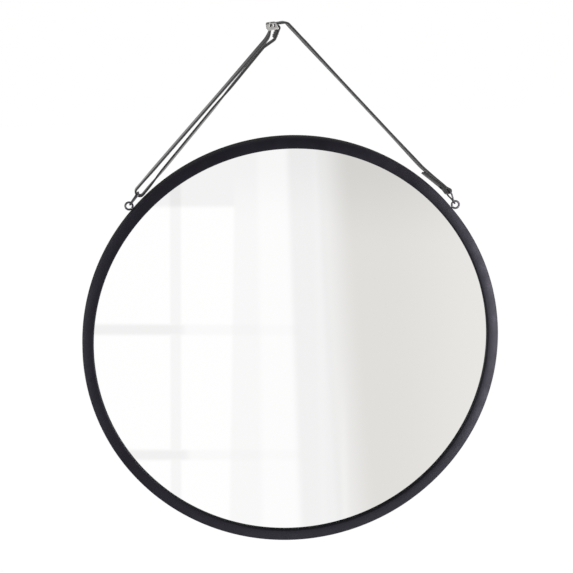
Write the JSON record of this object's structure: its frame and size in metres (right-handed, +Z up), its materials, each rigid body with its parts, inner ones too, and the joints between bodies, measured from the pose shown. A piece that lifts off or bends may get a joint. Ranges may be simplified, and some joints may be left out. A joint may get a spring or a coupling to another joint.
{
  "type": "round wall mirror",
  "caption": "Round mirror set back in a narrow dark frame ring, hung from a wall hook by a leather strap with a slide buckle, rivet and wire triangle rings",
  "frame": {"origin": "middle of the strap's underside where it rests on the wall hook", "axes": "+X to the viewer's right, +Y into the wall, +Z up; the mirror faces -Y"},
  "size_m": [0.4999, 0.0225, 0.6333],
  "materials": {
    "frame_lacquer": "satin near-black lacquer on a turned wood-fibre ring",
    "mirror_silver": "silvered float glass",
    "tape_foam": "closed-cell foam tape",
    "packing_card": "corrugated brown card",
    "panel_board": "bare hardboard",
    "screw_zinc": "yellow zinc plate",
    "bumper_rubber": "matt black rubber",
    "wire_dark": "dark gunmetal plate",
    "strap_leather": "black leather with a smooth grain face",
    "buckle_nickel": "bright nickel plate",
    "rivet_black": "black enamelled brass",
    "thread_black": "waxed polyester thread"
  },
  "bodies": {
    "hanger": {"strap": "strap_leather", "slide_buckle": "buckle_nickel", "rivet_post": "rivet_black", "rivet_cap": "rivet_black", "fold_stitching": "thread_black"},
    "left_ring": {"left_triangle_ring": "wire_dark"},
    "right_ring": {"right_triangle_ring": "wire_dark"},
    "mirror": {"frame_ring": "frame_lacquer", "mirror_glass": "mirror_silver", "foam_tape": "tape_foam", "packing_card": "packing_card", "back_panel": "panel_board", "panel_screws": "screw_zinc", "wall_bumpers": "bumper_rubber", "left_screw_eye": "wire_dark", "right_screw_eye": "wire_dark"}
  },
  "joints": [
    {"name": "mirror_tilt", "type": "hinge", "parent": "hanger", "child": "mirror", "pos_m": [0.00669, 0, -0.21087], "axis": [-0.9993, 0, 0.0379], "range_deg": [0, 12]},
    {"name": "left_ring_swing", "type": "hinge", "parent": "hanger", "child": "left_ring", "pos_m": [-0.17558, 0, -0.19214], "axis": [0, 1, 0], "range_deg": [-2.5, 2.5]},
    {"name": "right_ring_swing", "type": "hinge", "parent": "hanger", "child": "right_ring", "pos_m": [0.19093, 0, -0.20532], "axis": [0, 1, 0], "range_deg": [-2.5, 2.5]}
  ]
}
